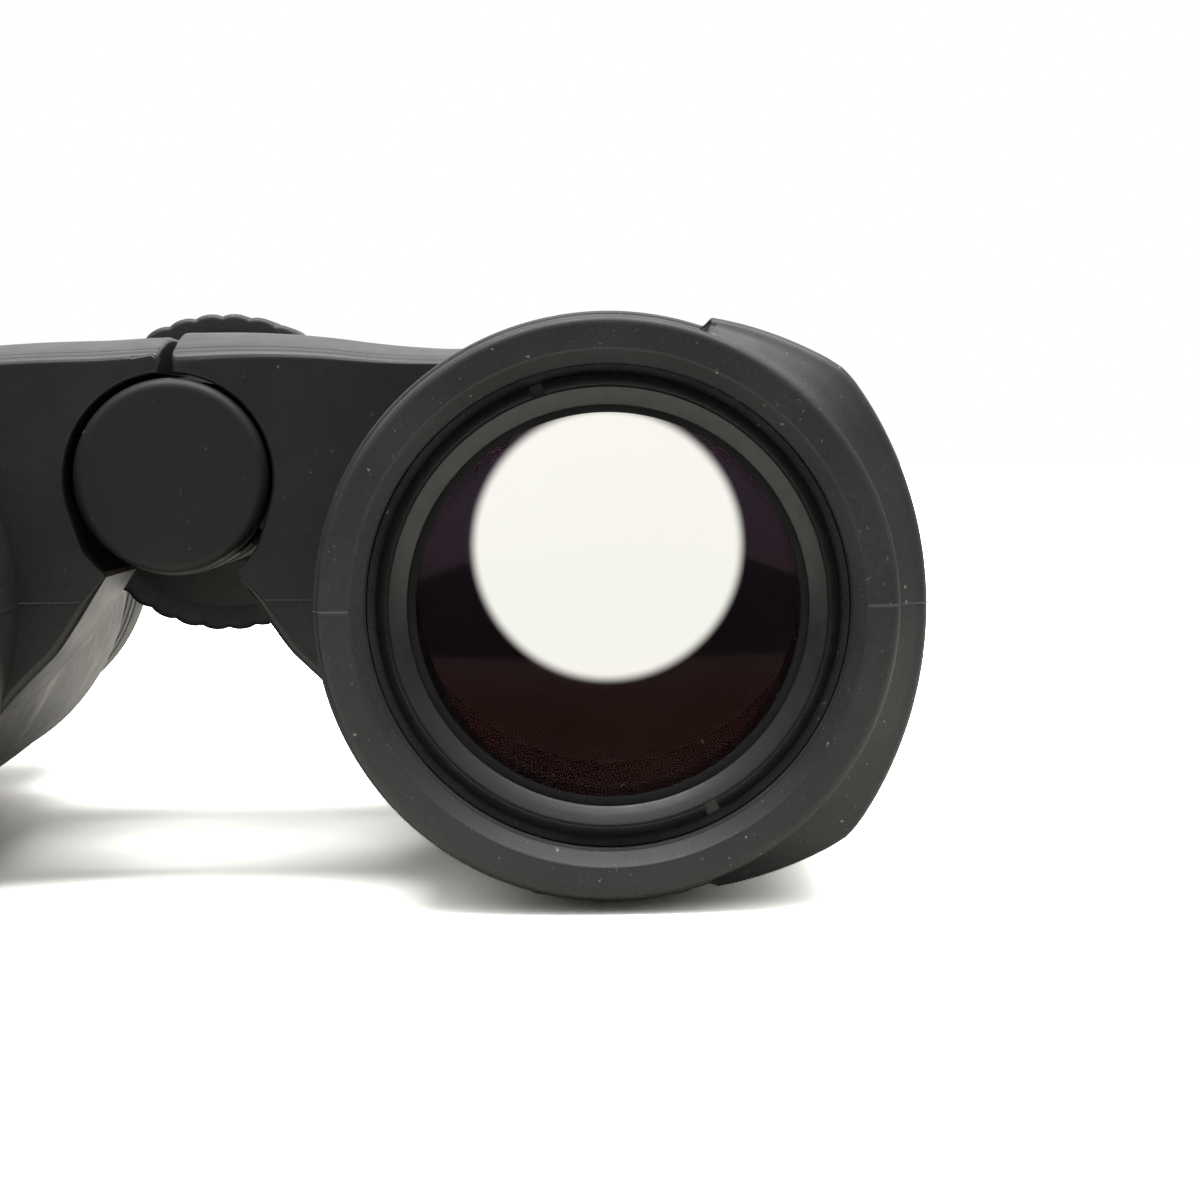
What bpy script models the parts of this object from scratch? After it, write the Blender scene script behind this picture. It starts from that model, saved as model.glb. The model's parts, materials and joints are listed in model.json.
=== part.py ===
"""Roof-prism binoculars with a centre hinge, in metres, +Z up.

The objectives face -Y. The hinge axis runs along Y in the plane x = 0, and the feet under the barrels stand on z = 0.
A depth is a distance behind the front rim. Sizes below are in millimetres and are turned into metres by MM.
"""

from math import atan2, cos, degrees, hypot, pi, radians, sin, tan

import bmesh
import bpy
from mathutils import Matrix, Vector

MM = 0.001

# Driving dimensions
LENGTH = 118.0
BARREL_X = 36.1
BARREL_Z = 24.2
HINGE_Z = 34.7
LENS_CLEAR_R = 16.0
GAP = 0.3

# Front rim of the armour
RIM_R = 22.9
RIM_FLAT_R = 20.35
LIP_R = 19.16
LIP_CHAMFER = 1.3
LIP_DEPTH = 7.6

# Armour
ARMOUR_END = 82.0
ARMOUR_R = 23.3
WAIST_R = 21.9
REAR_R = 21.6
ARMOUR_BORE_R = 20.5
GRIP_R = 25.25
GRIP_CORNER_R = 26.6
GRIP_CORNER_DEG = 45.0
GRIP_FLANK_R = 24.3
GRIP_FLANK_DEG = 70.0
GRIP_FRONT, GRIP_BACK = 1.2, 78.0
FEET = ((11.0, 28.0), (61.0, 77.0))
FOOT_HALF_WIDTH = 7.0

# Front bridge, heights measured from the hinge axis
ARM_FRONT, ARM_BACK = 13.5, 30.0
ARM_TOP = 12.2
ARM_SLOT = 0.53
SKIN = 1.3
SKIN_GAP = 1.6
POCKET_R = 8.63
REAR_ARM = (60.5, 72.0)
KNUCKLE_R = 8.2
SHAFT_R = 4.0
SLEEVE_R = 5.2

# Housing tube
TUBE_R = 20.2
TUBE_BORE_R = 18.2
RING_BORE_R = 18.75
COLLAR_R = 17.2
EYE_TUBE_R = 14.3

# Focusing
WHEEL_R = 15.0
WHEEL_FRONT, WHEEL_BACK = 48.8, 57.4
SCALLOPS = 36
SCALLOP_DEPTH = 0.22
DRIVE_ARM = (22.65, 24.05)
DRIVE_ARM_WIDTH = 3.6
GROOVE_FLOOR_R = 6.6
FORK_HALF_DEG = 30.0

CHORD = 2 * pi
BARREL_REACH = hypot(BARREL_X, HINGE_Z - BARREL_Z)
BARREL_TILT = atan2(BARREL_Z - HINGE_Z, BARREL_X)

COLOURS = {
    "rubber": ((0.022, 0.022, 0.023), 0.62, 0.0),
    "body_paint": ((0.018, 0.018, 0.019), 0.45, 0.2),
    "black_anodised": ((0.03, 0.031, 0.03), 0.42, 0.6),
    "coated_glass": ((0.10, 0.05, 0.09), 0.05, 0.0),
    "prism_glass": ((0.75, 0.78, 0.76), 0.05, 0.0),
    "brass": ((0.62, 0.45, 0.18), 0.3, 1.0),
    "steel": ((0.5, 0.5, 0.5), 0.3, 1.0),
    "black_plastic": ((0.02, 0.02, 0.021), 0.5, 0.0),
    "seal_rubber": ((0.01, 0.01, 0.01), 0.7, 0.0),
}


def y_at(depth):
    return depth - LENGTH / 2


def clear_scene():
    for obj in list(bpy.data.objects):
        bpy.data.objects.remove(obj)


def material(name):
    existing = bpy.data.materials.get(name)
    if existing:
        return existing
    colour, roughness, metallic = COLOURS[name]
    mat = bpy.data.materials.new(name)
    mat.use_nodes = True
    shader = mat.node_tree.nodes["Principled BSDF"]
    shader.inputs["Base Color"].default_value = (*colour, 1.0)
    shader.inputs["Roughness"].default_value = roughness
    shader.inputs["Metallic"].default_value = metallic
    return mat


def make_object(name, bm, origin, slot):
    """Object from a mesh given in world millimetres, with its origin at that point."""
    bmesh.ops.recalc_face_normals(bm, faces=bm.faces)
    bmesh.ops.transform(bm, matrix=Matrix.Scale(MM, 4) @ Matrix.Translation(-Vector(origin)), verts=bm.verts)
    mesh = bpy.data.meshes.new(name)
    bm.to_mesh(mesh)
    bm.free()
    obj = bpy.data.objects.new(name, mesh)
    obj.location = Vector(origin) * MM
    obj.data.materials.append(material(slot))
    bpy.context.scene.collection.objects.link(obj)
    return obj


def add_lathe(bm, profile, centre, segments, ripple=None):
    """Closed ring swept round an axis along Y from (radius, depth) points; a zero radius closes on the axis."""
    rings = []
    for radius, depth in profile:
        if radius == 0:
            rings.append([bm.verts.new((centre[0], y_at(depth), centre[1]))])
            continue
        ring = []
        for step in range(segments):
            angle = CHORD * step / segments
            r = radius - (ripple(radius, step) if ripple else 0)
            ring.append(bm.verts.new((centre[0] + r * cos(angle), y_at(depth), centre[1] + r * sin(angle))))
        rings.append(ring)
    closed = profile[0][0] > 0
    count = len(rings) if closed else len(rings) - 1
    for index in range(count):
        a, b = rings[index], rings[(index + 1) % len(rings)]
        for step in range(segments):
            after = (step + 1) % segments
            corners = [a[step % len(a)], a[after % len(a)], b[after % len(b)], b[step % len(b)]]
            unique = list(dict.fromkeys(corners))
            bm.faces.new(unique)


def add_prism(bm, outline, front, back):
    """Flat (x, z) outline drawn out from one depth to another."""
    near = [bm.verts.new((x, y_at(front), z)) for x, z in outline]
    far = [bm.verts.new((x, y_at(back), z)) for x, z in outline]
    bm.faces.new(near)
    bm.faces.new(list(reversed(far)))
    for index in range(len(outline)):
        after = (index + 1) % len(outline)
        bm.faces.new((near[index], far[index], far[after], near[after]))


def lathe(name, profile, centre, segments, slot, ripple=None):
    bm = bmesh.new()
    add_lathe(bm, profile, centre, segments, ripple)
    return make_object(name, bm, (centre[0], 0, centre[1]), slot)


def prism(name, outline, front, back, centre, slot):
    bm = bmesh.new()
    add_prism(bm, outline, front, back)
    return make_object(name, bm, (centre[0], 0, centre[1]), slot)


def combine(base, other, operation):
    """Joins or cuts base with other for good, and removes other."""
    modifier = base.modifiers.new(operation, "BOOLEAN")
    modifier.operation = operation
    modifier.solver = "EXACT"
    modifier.object = other
    graph = bpy.context.evaluated_depsgraph_get()
    result = bpy.data.meshes.new_from_object(base.evaluated_get(graph))
    base.modifiers.clear()
    base.data = result
    bpy.data.objects.remove(other)
    clean_mesh(base)


def clean_mesh(obj):
    bm = bmesh.new()
    bm.from_mesh(obj.data)
    bmesh.ops.remove_doubles(bm, verts=bm.verts, dist=0.0005 * MM)
    bmesh.ops.dissolve_limit(bm, angle_limit=radians(0.05), verts=bm.verts, edges=bm.edges)
    bm.to_mesh(obj.data)
    bm.free()


def tube_profile(inner, outer, front, back):
    return [(inner, front), (outer, front), (outer, back), (inner, back)]


def arc(centre, radius, start_deg, end_deg, steps):
    points = []
    for step in range(steps + 1):
        angle = radians(start_deg + (end_deg - start_deg) * step / steps)
        points.append((centre[0] + radius * cos(angle), centre[1] + radius * sin(angle)))
    return points


def mirrored(outline, side):
    return [(side * x, z) for x, z in outline]


def barrel(side):
    return (side * BARREL_X, BARREL_Z)


def tilted_box(side, near, far, half_width, offset=0.0):
    """Rectangle along the line from the hinge to the barrel, between two distances from the hinge."""
    along = Vector((cos(BARREL_TILT), sin(BARREL_TILT)))
    across = Vector((-along.y, along.x))
    corners = []
    for distance, width in ((near, -half_width), (far, -half_width), (far, half_width), (near, half_width)):
        point = along * distance + across * (width + offset)
        corners.append((side * point.x, HINGE_Z + point.y))
    return corners


def grip_outline(side):
    """Side grip: a shallow arc between two corners, then straight flanks down onto the barrel."""
    corner_x = GRIP_CORNER_R * cos(radians(GRIP_CORNER_DEG))
    corner_z = GRIP_CORNER_R * sin(radians(GRIP_CORNER_DEG))
    centre_x = (GRIP_R**2 - corner_x**2 - corner_z**2) / (2 * (GRIP_R - corner_x))
    radius = GRIP_R - centre_x
    reach = degrees(atan2(corner_z, corner_x - centre_x))
    outer = arc((centre_x, 0), radius, -reach, reach, 8)
    flank = (GRIP_FLANK_R * cos(radians(GRIP_FLANK_DEG)), GRIP_FLANK_R * sin(radians(GRIP_FLANK_DEG)))
    inner = (0.75 * flank[0], 0.75 * flank[1])
    local = [(inner[0], -inner[1]), (flank[0], -flank[1]), *outer, flank, inner]
    return [(side * (BARREL_X + x), BARREL_Z + z) for x, z in local]


def arm_outline(side, inset):
    """Front bridge arm, from the slot over the hinge down to where it runs into the barrel."""
    top = ARM_TOP - inset
    lower = [(4.9, -8.2), (8.15, -12.2), (10.1, -15.0), (12.2, -17.05), (14.4, -19.5)]
    local = [(ARM_SLOT, 0.0), (ARM_SLOT, top), (12.0, top - 0.25), (23.0, top - 0.9), (31.0, top - 1.6)]
    local += [(31.0, -21.0)]
    local += [(x + 0.6 * inset, z + 0.8 * inset) for x, z in reversed(lower)]
    local += [(4.9, 0.0)]
    return mirrored([(x, HINGE_Z + z) for x, z in local], side)


def rear_arm_outline(side):
    local = [(5.0, 7.6), (12.0, 7.2), (24.0, 4.6), (24.0, -16.0), (12.0, -11.5), (5.0, -8.0)]
    return mirrored([(x, HINGE_Z + z) for x, z in local], side)


def box_outline(centre, half_x, low, high):
    """Upright rectangle whose low and high edges are heights above the table."""
    left, right = centre[0] - half_x, centre[0] + half_x
    return [(left, low), (right, low), (right, high), (left, high)]


def build_armour(side, tag):
    """Rubber skin of the barrel and of the front bridge arm, with the side grip and the feet."""
    centre = barrel(side)
    rounding = 1.0
    profile = [
        (0, 0.0),
        (RIM_R - rounding, 0.0),
        (RIM_R - 0.3 * rounding, 0.3 * rounding),
        (RIM_R, rounding),
        (ARMOUR_R, 2.6),
        (ARMOUR_R, 32.0),
        (WAIST_R, 44.0),
        (WAIST_R, 58.4),
        (REAR_R, 62.0),
        (REAR_R, 80.0),
        (ARMOUR_BORE_R + 0.7, ARMOUR_END),
        (0, ARMOUR_END),
    ]
    armour = lathe(f"armour_{tag}", profile, centre, 40, "rubber")
    added = [(grip_outline(side), GRIP_FRONT, GRIP_BACK), (arm_outline(side, 0.0), ARM_FRONT, ARM_BACK)]
    added += [(box_outline(centre, FOOT_HALF_WIDTH, 0.0, 4.0), front, back) for front, back in FEET]
    for outline, front, back in added:
        combine(armour, prism("added_tool", outline, front, back, centre, "rubber"), "UNION")
    cavity = prism("cavity_tool", arm_outline(side, 1.5), ARM_FRONT + SKIN, ARM_BACK - SKIN, centre, "rubber")
    combine(armour, cavity, "DIFFERENCE")
    chamfer_slope = (RIM_FLAT_R - LIP_R) / LIP_CHAMFER
    bore = [
        (0, -1.0),
        (RIM_FLAT_R + chamfer_slope, -1.0),
        (LIP_R, LIP_CHAMFER),
        (LIP_R, LIP_DEPTH),
        (ARMOUR_BORE_R, LIP_DEPTH),
        (ARMOUR_BORE_R, 90.0),
        (0, 90.0),
    ]
    combine(armour, lathe("bore_tool", bore, centre, 40, "rubber"), "DIFFERENCE")
    pocket = lathe("pocket_tool", [(0, 5), (POCKET_R, 5), (POCKET_R, 40), (0, 40)], (0, HINGE_Z), 40, "rubber")
    combine(armour, pocket, "DIFFERENCE")
    notch = tilted_box(side, 8.0, BARREL_REACH - 14.0, 12.2, -1.0)
    window = prism("window_tool", notch, REAR_ARM[0] - 0.8, REAR_ARM[1] + 0.8, centre, "rubber")
    combine(armour, window, "DIFFERENCE")


def knuckle(name, side, front, back, bore_r):
    """Hinge eye with the web that ties it to its own arm."""
    centre = (0, HINGE_Z)
    disc = lathe(name, [(0, front), (KNUCKLE_R, front), (KNUCKLE_R, back), (0, back)], centre, 32, "body_paint")
    web = tilted_box(side, 5.5, 13.0, 4.6)
    web_back = min(back, ARM_BACK - SKIN_GAP) if front < ARM_BACK else back
    combine(disc, prism("web_tool", web, front, web_back, centre, "body_paint"), "UNION")
    bore = lathe("eye_tool", [(0, front - 1), (bore_r, front - 1), (bore_r, back + 1), (0, back + 1)],
                 centre, 24, "body_paint")
    combine(disc, bore, "DIFFERENCE")
    return disc


def build_housing(side, tag, knuckles):
    """Metal body: barrel tube, collar for the eyepiece, both bridge arms and their hinge eyes."""
    centre = barrel(side)
    outer = [(0, LIP_DEPTH + GAP), (TUBE_R, LIP_DEPTH + GAP), (TUBE_R, 83.0), (COLLAR_R, 88.0), (0, 88.0)]
    housing = lathe(f"housing_{tag}", outer, centre, 32, "body_paint")
    inset = 1.5 + 0.35
    front = prism("arm_tool", arm_outline(side, inset), ARM_FRONT + SKIN_GAP, ARM_BACK - SKIN_GAP, centre, "body_paint")
    combine(housing, front, "UNION")
    rear = prism("arm_tool", rear_arm_outline(side), REAR_ARM[0], REAR_ARM[1], centre, "body_paint")
    combine(housing, rear, "UNION")
    pocket = lathe("pocket_tool", [(0, 5), (POCKET_R + 0.3, 5), (POCKET_R + 0.3, 78), (0, 78)],
                   (0, HINGE_Z), 32, "body_paint")
    combine(housing, pocket, "DIFFERENCE")
    for front_end, back_end, bore_r in knuckles:
        combine(housing, knuckle("knuckle_tool", side, front_end, back_end, bore_r), "UNION")
    channel = tilted_box(side, 7.0, BARREL_REACH - 12.0, DRIVE_ARM_WIDTH / 2 + 0.7)
    combine(housing, prism("channel_tool", channel, 20.8, 25.9, centre, "body_paint"), "DIFFERENCE")
    bore = [
        (0, 5.0),
        (RING_BORE_R, 5.0),
        (RING_BORE_R, 12.4),
        (LENS_CLEAR_R + 0.3, 12.4),
        (LENS_CLEAR_R + 0.3, 16.5),
        (TUBE_BORE_R, 16.5),
        (TUBE_BORE_R, 81.0),
        (EYE_TUBE_R + GAP, 81.0),
        (EYE_TUBE_R + GAP, 92.0),
        (0, 92.0),
    ]
    combine(housing, lathe("bore_tool", bore, centre, 32, "body_paint"), "DIFFERENCE")


def build_objective(side, tag):
    """Retaining ring with its spanner notches, the two lenses it clamps, and the seal behind them."""
    centre = barrel(side)
    profile = [
        (LENS_CLEAR_R, 4.5),
        (17.3, 3.1),
        (17.4, 3.35),
        (17.5, 3.0),
        (18.45, 3.0),
        (18.45, 11.6),
        (17.35, 11.6),
        (17.35, 5.4),
        (LENS_CLEAR_R, 5.4),
    ]
    ring = lathe(f"objective_ring_{tag}", profile, centre, 40, "black_anodised")
    for angle in (radians(110), radians(-70)):
        half = 0.75
        along = Vector((cos(angle), sin(angle)))
        across = Vector((-along.y, along.x))
        corners = []
        for reach, width in ((17.5, -half), (19.5, -half), (19.5, half), (17.5, half)):
            point = along * reach + across * width
            corners.append((centre[0] + point.x, centre[1] + point.y))
        combine(ring, prism("notch_tool", corners, 2.0, 4.0, centre, "black_anodised"), "DIFFERENCE")
    lens_r = LENS_CLEAR_R + 1.05
    crown = [(0, 4.0), (9.0, 4.45), (lens_r, 5.7), (lens_r, 8.0), (9.0, 9.3), (0, 9.7)]
    lathe(f"objective_crown_{tag}", crown, centre, 24, "coated_glass")
    flint = [(0, 10.05), (9.0, 9.65), (lens_r, 8.35), (lens_r, 11.2), (9.0, 11.9), (0, 12.1)]
    lathe(f"objective_flint_{tag}", flint, centre, 24, "coated_glass")
    seal = [(16.5, 11.8), (16.9, 11.5), (17.1, 11.7), (17.1, 12.1), (16.6, 12.1)]
    lathe(f"objective_seal_{tag}", seal, centre, 24, "seal_rubber")


def build_focus_cell(side, tag):
    """Carrier of the focusing lens. Its arm ends in a fork that runs in the groove of the carriage."""
    centre = barrel(side)
    front, back = DRIVE_ARM
    profile = [(13.2, 20.0), (17.8, 20.0), (17.8, 27.0), (14.6, 27.0), (14.6, 21.0), (13.2, 21.0)]
    cell = lathe(f"focus_cell_{tag}", profile, centre, 28, "black_plastic")
    reach = GROOVE_FLOOR_R + 1.2
    arm = prism("arm_tool", tilted_box(side, reach, BARREL_REACH - 16.2, DRIVE_ARM_WIDTH / 2),
                front, back, centre, "black_plastic")
    combine(cell, arm, "UNION")
    middle = degrees(BARREL_TILT)
    inner = arc((0, 0), GROOVE_FLOOR_R + GAP, middle - FORK_HALF_DEG, middle + FORK_HALF_DEG, 6)
    outer = arc((0, 0), reach + 0.35, middle + FORK_HALF_DEG, middle - FORK_HALF_DEG, 6)
    fork = mirrored([(x, HINGE_Z + z) for x, z in inner + outer], side)
    combine(cell, prism("fork_tool", fork, front, back, centre, "black_plastic"), "UNION")
    lens = [(0, 22.6), (8.0, 22.3), (14.3, 21.3), (14.3, 26.4), (8.0, 25.2), (0, 24.8)]
    lathe(f"focus_lens_{tag}", lens, centre, 24, "coated_glass")


def build_prisms(side, tag):
    """Prism pair of a straight barrel in its cage: a half-pentagonal prism and a roof prism over a thin gap."""
    centre = barrel(side)
    half_x, half_z = 9.8, 14.0
    cage_front, cage_back = 48.0, 77.5
    cage = lathe(f"prism_cage_{tag}", [(0, cage_front), (17.9, cage_front), (17.9, cage_back), (0, cage_back)],
                 centre, 28, "black_plastic")
    window = [(-half_x, -half_z), (half_x, -half_z), (half_x, half_z), (-half_x, half_z)]
    window = [(centre[0] + x, centre[1] + z) for x, z in window]
    combine(cage, prism("window_tool", window, cage_front + 1.5, 90, centre, "black_plastic"), "DIFFERENCE")
    mouth = lathe("mouth_tool", [(0, 40), (9.0, 40), (9.0, 60), (0, 60)], centre, 28, "black_plastic")
    combine(cage, mouth, "DIFFERENCE")
    width = half_x - 0.4
    start = cage_front + 1.9
    entry = [(0.0, -9.0), (0.0, 9.0), (4.0, 13.0), (22.0, -5.0)]
    half_penta = bmesh.new()
    for x in (-width, width):
        for depth, z in entry:
            half_penta.verts.new((centre[0] + x, y_at(start + depth), centre[1] + z))
    bmesh.ops.convex_hull(half_penta, input=half_penta.verts)
    make_object(f"prism_half_penta_{tag}", half_penta, (centre[0], 0, centre[1]), "prism_glass")
    roof = bmesh.new()
    sides = [(8.7, 9.0), (25.0, -7.3), (25.0, 9.0)]
    ridge = [(4.7, 13.0), (22.0, 13.0)]
    for x in (-width, width):
        for depth, z in sides:
            roof.verts.new((centre[0] + x, y_at(start + depth), centre[1] + z))
    for depth, z in ridge:
        roof.verts.new((centre[0], y_at(start + depth), centre[1] + z))
    bmesh.ops.convex_hull(roof, input=roof.verts)
    make_object(f"prism_schmidt_{tag}", roof, (centre[0], 0, centre[1]), "prism_glass")


def build_eyepiece(side, tag):
    """Eyepiece tube with its two lens groups, the twist-up eyecup and its guide ring."""
    centre = barrel(side)
    tube = [
        (12.7, 78.1),
        (17.6, 78.1),
        (17.6, 80.6),
        (EYE_TUBE_R, 80.6),
        (EYE_TUBE_R, 112.9),
        (9.6, 112.9),
        (9.6, 111.6),
        (11.2, 111.6),
        (11.2, 101.0),
        (12.7, 101.0),
    ]
    lathe(f"eyepiece_tube_{tag}", tube, centre, 20, "black_anodised")
    lathe(f"field_cell_{tag}", tube_profile(11.0, 12.4, 86.5, 93.5), centre, 20, "black_plastic")
    field = [(0, 87.2), (10.7, 88.8), (10.7, 91.6), (0, 93.0)]
    lathe(f"field_lens_{tag}", field, centre, 24, "coated_glass")
    eye = [(0, 105.6), (10.9, 107.0), (10.9, 110.0), (0, 111.2)]
    lathe(f"eye_lens_{tag}", eye, centre, 24, "coated_glass")
    lathe(f"eyecup_guide_{tag}", tube_profile(EYE_TUBE_R + GAP, 16.0, 92.6, 104.0), centre, 20, "black_plastic")
    cup = [
        (16.4, 92.6),
        (17.6, 92.6),
        (18.4, 94.0),
        (18.4, 114.5),
        (17.4, 117.2),
        (15.6, LENGTH),
        (13.0, 117.4),
        (11.8, 113.6),
        (16.4, 113.6),
    ]
    lathe(f"eyecup_{tag}", cup, centre, 24, "rubber")


def build_strap_lug(side, tag):
    """Loop for the neck strap on the collar behind the armour."""
    tilt = radians(40)
    along = Vector((side * cos(tilt), sin(tilt)))
    across = Vector((-along.y, along.x))
    centre = barrel(side)

    def block(near, far, half):
        corners = []
        for reach, width in ((near, -half), (far, -half), (far, half), (near, half)):
            point = along * reach + across * width
            corners.append((centre[0] + point.x, centre[1] + point.y))
        return corners

    lug = prism(f"strap_lug_{tag}", block(20.7, 26.2, 6.5), 82.5, 85.3, centre, "black_anodised")
    combine(lug, prism("slot_tool", block(22.4, 24.8, 5.0), 80, 90, centre, "black_anodised"), "DIFFERENCE")


def build_hinge():
    """Hollow hinge shaft, the bushes of the left half, the nut and the two end caps."""
    centre = (0, HINGE_Z)
    lathe("hinge_shaft", tube_profile(2.5, SHAFT_R, 16.6, 74.6), centre, 20, "steel")
    cap = [
        (0, 12.6),
        (7.4, 12.6),
        (8.1, 12.9),
        (8.4, 13.6),
        (8.4, 16.0),
        (2.2, 16.0),
        (2.2, 22.0),
        (0, 22.0),
    ]
    lathe("hinge_cap_front", cap, centre, 32, "black_plastic")
    lathe("hinge_bush_front", tube_profile(SLEEVE_R + GAP, 6.2, 27.3, 30.0), centre, 20, "brass")
    lathe("hinge_bush_rear", tube_profile(SHAFT_R + GAP, 5.2, 60.5, 66.0), centre, 20, "brass")
    hexagon = [(x, HINGE_Z + z) for x, z in arc((0, 0), 7.2, 0, 300, 5)]
    nut = prism("hinge_nut", hexagon, 72.3, 74.2, centre, "steel")
    thread = lathe("thread_tool", [(0, 70), (SHAFT_R + GAP, 70), (SHAFT_R + GAP, 76), (0, 76)], centre, 20, "steel")
    combine(nut, thread, "DIFFERENCE")
    rear = [(0, 69.0), (2.2, 69.0), (2.2, 74.9), (8.2, 74.9), (8.2, 76.6), (7.4, 77.4), (0, 77.4)]
    lathe("hinge_cap_rear", rear, centre, 24, "black_plastic")


def scallop(radius, step):
    """Alternate points of the rim sink a little, so that the rim is scalloped."""
    if radius < WHEEL_R - 1.0:
        return 0.0
    return (0.0, SCALLOP_DEPTH)[step % 2]


def build_focus_wheel():
    """Wheel with its rubber rim, the threaded sleeve it turns, and the carriage the sleeve moves."""
    centre = (0, HINGE_Z)
    core = [
        (SLEEVE_R + GAP, 30.5),
        (8.2, 30.5),
        (8.2, 47.6),
        (12.6, 48.4),
        (12.6, 57.8),
        (8.2, 58.6),
        (8.2, 60.1),
        (SLEEVE_R + GAP, 60.1),
    ]
    lathe("focus_wheel_core", core, centre, 24, "black_plastic")
    grip = tube_profile(12.9, WHEEL_R, WHEEL_FRONT, WHEEL_BACK)
    lathe("focus_wheel_grip", grip, centre, 2 * SCALLOPS, "rubber", scallop)
    lathe("focus_sleeve", tube_profile(SHAFT_R + GAP, SLEEVE_R, 19.8, 59.7), centre, 20, "brass")
    spool = [
        (SLEEVE_R + GAP, 21.25),
        (7.9, 21.25),
        (7.9, 22.35),
        (GROOVE_FLOOR_R, 22.35),
        (GROOVE_FLOOR_R, 24.35),
        (7.9, 24.35),
        (7.9, 25.45),
        (SLEEVE_R + GAP, 25.45),
    ]
    lathe("focus_carriage", spool, centre, 24, "brass")


def knurl(radius, step):
    if radius < 17.5:
        return 0.0
    return (0.0, 0.3)[step % 2]


def build_eyepiece_rings():
    """The right eyepiece has the dioptre ring, and the left one a plain collar in its place."""
    profile = [(EYE_TUBE_R + GAP, 88.5), (17.0, 88.5), (18.4, 89.0), (18.4, 91.8), (17.0, 92.3),
               (EYE_TUBE_R + GAP, 92.3)]
    lathe("diopter_ring", profile, barrel(1), 36, "black_plastic", knurl)
    collar = [(EYE_TUBE_R + GAP, 88.5), (17.2, 88.5), (17.8, 89.1), (17.8, 92.3), (EYE_TUBE_R + GAP, 92.3)]
    lathe("eyepiece_collar", collar, barrel(-1), 20, "black_plastic")


def main():
    clear_scene()
    halves = (
        (1, "right", ((16.6, 19.4, SHAFT_R + GAP), (66.3, 72.0, SHAFT_R + GAP))),
        (-1, "left", ((27.3, 30.0, 6.5), (60.5, 66.0, 5.5))),
    )
    for side, tag, knuckles in halves:
        build_armour(side, tag)
        build_housing(side, tag, knuckles)
        build_objective(side, tag)
        build_focus_cell(side, tag)
        build_prisms(side, tag)
        build_eyepiece(side, tag)
        build_strap_lug(side, tag)
    build_hinge()
    build_focus_wheel()
    build_eyepiece_rings()


main()
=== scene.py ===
"""Looks of the roof-prism binoculars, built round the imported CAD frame.

The objectives face -Y. Lengths are in millimetres, turned into metres by MM, and a depth runs back from the front
rims. Local outlines of the bridge are (x, z) from the hinge axis on the right half, and the left half mirrors them.
"""

import json
from math import atan2, cos, degrees, hypot, pi, radians, sin, sqrt

import bmesh
import bpy
from mathutils import Matrix, Vector


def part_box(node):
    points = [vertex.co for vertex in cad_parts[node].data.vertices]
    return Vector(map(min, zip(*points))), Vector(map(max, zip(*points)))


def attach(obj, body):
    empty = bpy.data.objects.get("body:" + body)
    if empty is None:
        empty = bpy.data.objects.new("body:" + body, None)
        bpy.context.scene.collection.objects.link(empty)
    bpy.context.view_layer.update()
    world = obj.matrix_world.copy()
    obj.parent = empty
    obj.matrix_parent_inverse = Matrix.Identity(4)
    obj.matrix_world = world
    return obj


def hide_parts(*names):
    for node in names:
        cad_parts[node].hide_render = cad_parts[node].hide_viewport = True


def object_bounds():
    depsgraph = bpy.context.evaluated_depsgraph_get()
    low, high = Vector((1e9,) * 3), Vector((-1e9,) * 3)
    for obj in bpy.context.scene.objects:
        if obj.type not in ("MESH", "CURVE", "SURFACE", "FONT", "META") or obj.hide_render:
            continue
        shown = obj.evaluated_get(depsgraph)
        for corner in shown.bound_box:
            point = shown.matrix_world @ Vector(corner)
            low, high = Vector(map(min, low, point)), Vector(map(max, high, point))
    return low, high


MM = 0.001

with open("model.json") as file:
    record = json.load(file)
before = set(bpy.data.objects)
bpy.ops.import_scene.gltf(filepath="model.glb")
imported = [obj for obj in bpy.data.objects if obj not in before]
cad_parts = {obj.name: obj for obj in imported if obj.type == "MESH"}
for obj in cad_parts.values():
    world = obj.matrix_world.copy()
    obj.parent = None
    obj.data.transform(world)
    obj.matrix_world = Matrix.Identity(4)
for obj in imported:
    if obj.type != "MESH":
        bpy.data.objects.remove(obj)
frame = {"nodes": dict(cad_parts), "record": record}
CAD_LOW, CAD_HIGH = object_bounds()
FRONT = CAD_LOW.y / MM


def centre_of(node):
    low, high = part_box(node)
    return Vector((low.x + high.x, low.z + high.z)) / 2 / MM


BARRELS = {1: centre_of("objective_crown_right"), -1: centre_of("objective_crown_left")}
HINGE = centre_of("hinge_shaft")
TAGS = {1: "right", -1: "left"}
HALVES = {1: "right_half", -1: "left_half"}

# Front rim of the armour
RIM_R = 22.9
RIM_FLAT_R = 20.35
LIP_R = 19.16
LIP_BACK_R = 19.47
LIP_CHAMFER = 1.3
LIP_DEPTH = 7.6
RIM_ROUND = 0.65

# Barrel skin
SKIN_R = 23.3
WAIST_R = 21.9
REAR_R = 21.3
SKIN_BORE_R = 20.5
SKIN_END = 82.0
GRIP_R = 25.25
GRIP_CORNER_R, GRIP_CORNER = 26.6, 45.0
GRIP_FLANK_R, GRIP_FLANK = 24.3, 70.0
GRIP_BACK = 78.0
SEAM_HEIGHT = 0.06

# Bridge
ARM_FRONT, ARM_BACK = 13.5, 30.0
REAR_ARM_FRONT, REAR_ARM_BACK = 60.5, 72.0
POCKET_R = 8.66
SLOT = 0.53
CAP_R = 8.05
KNUCKLE_R = 8.2

# Focus wheel
WHEEL_R, WHEEL_HUB_R = 15.0, 12.7
WHEEL_FRONT, WHEEL_BACK = 48.8, 57.4
SCALLOPS, SCALLOP_DEPTH = 36, 0.26

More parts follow.
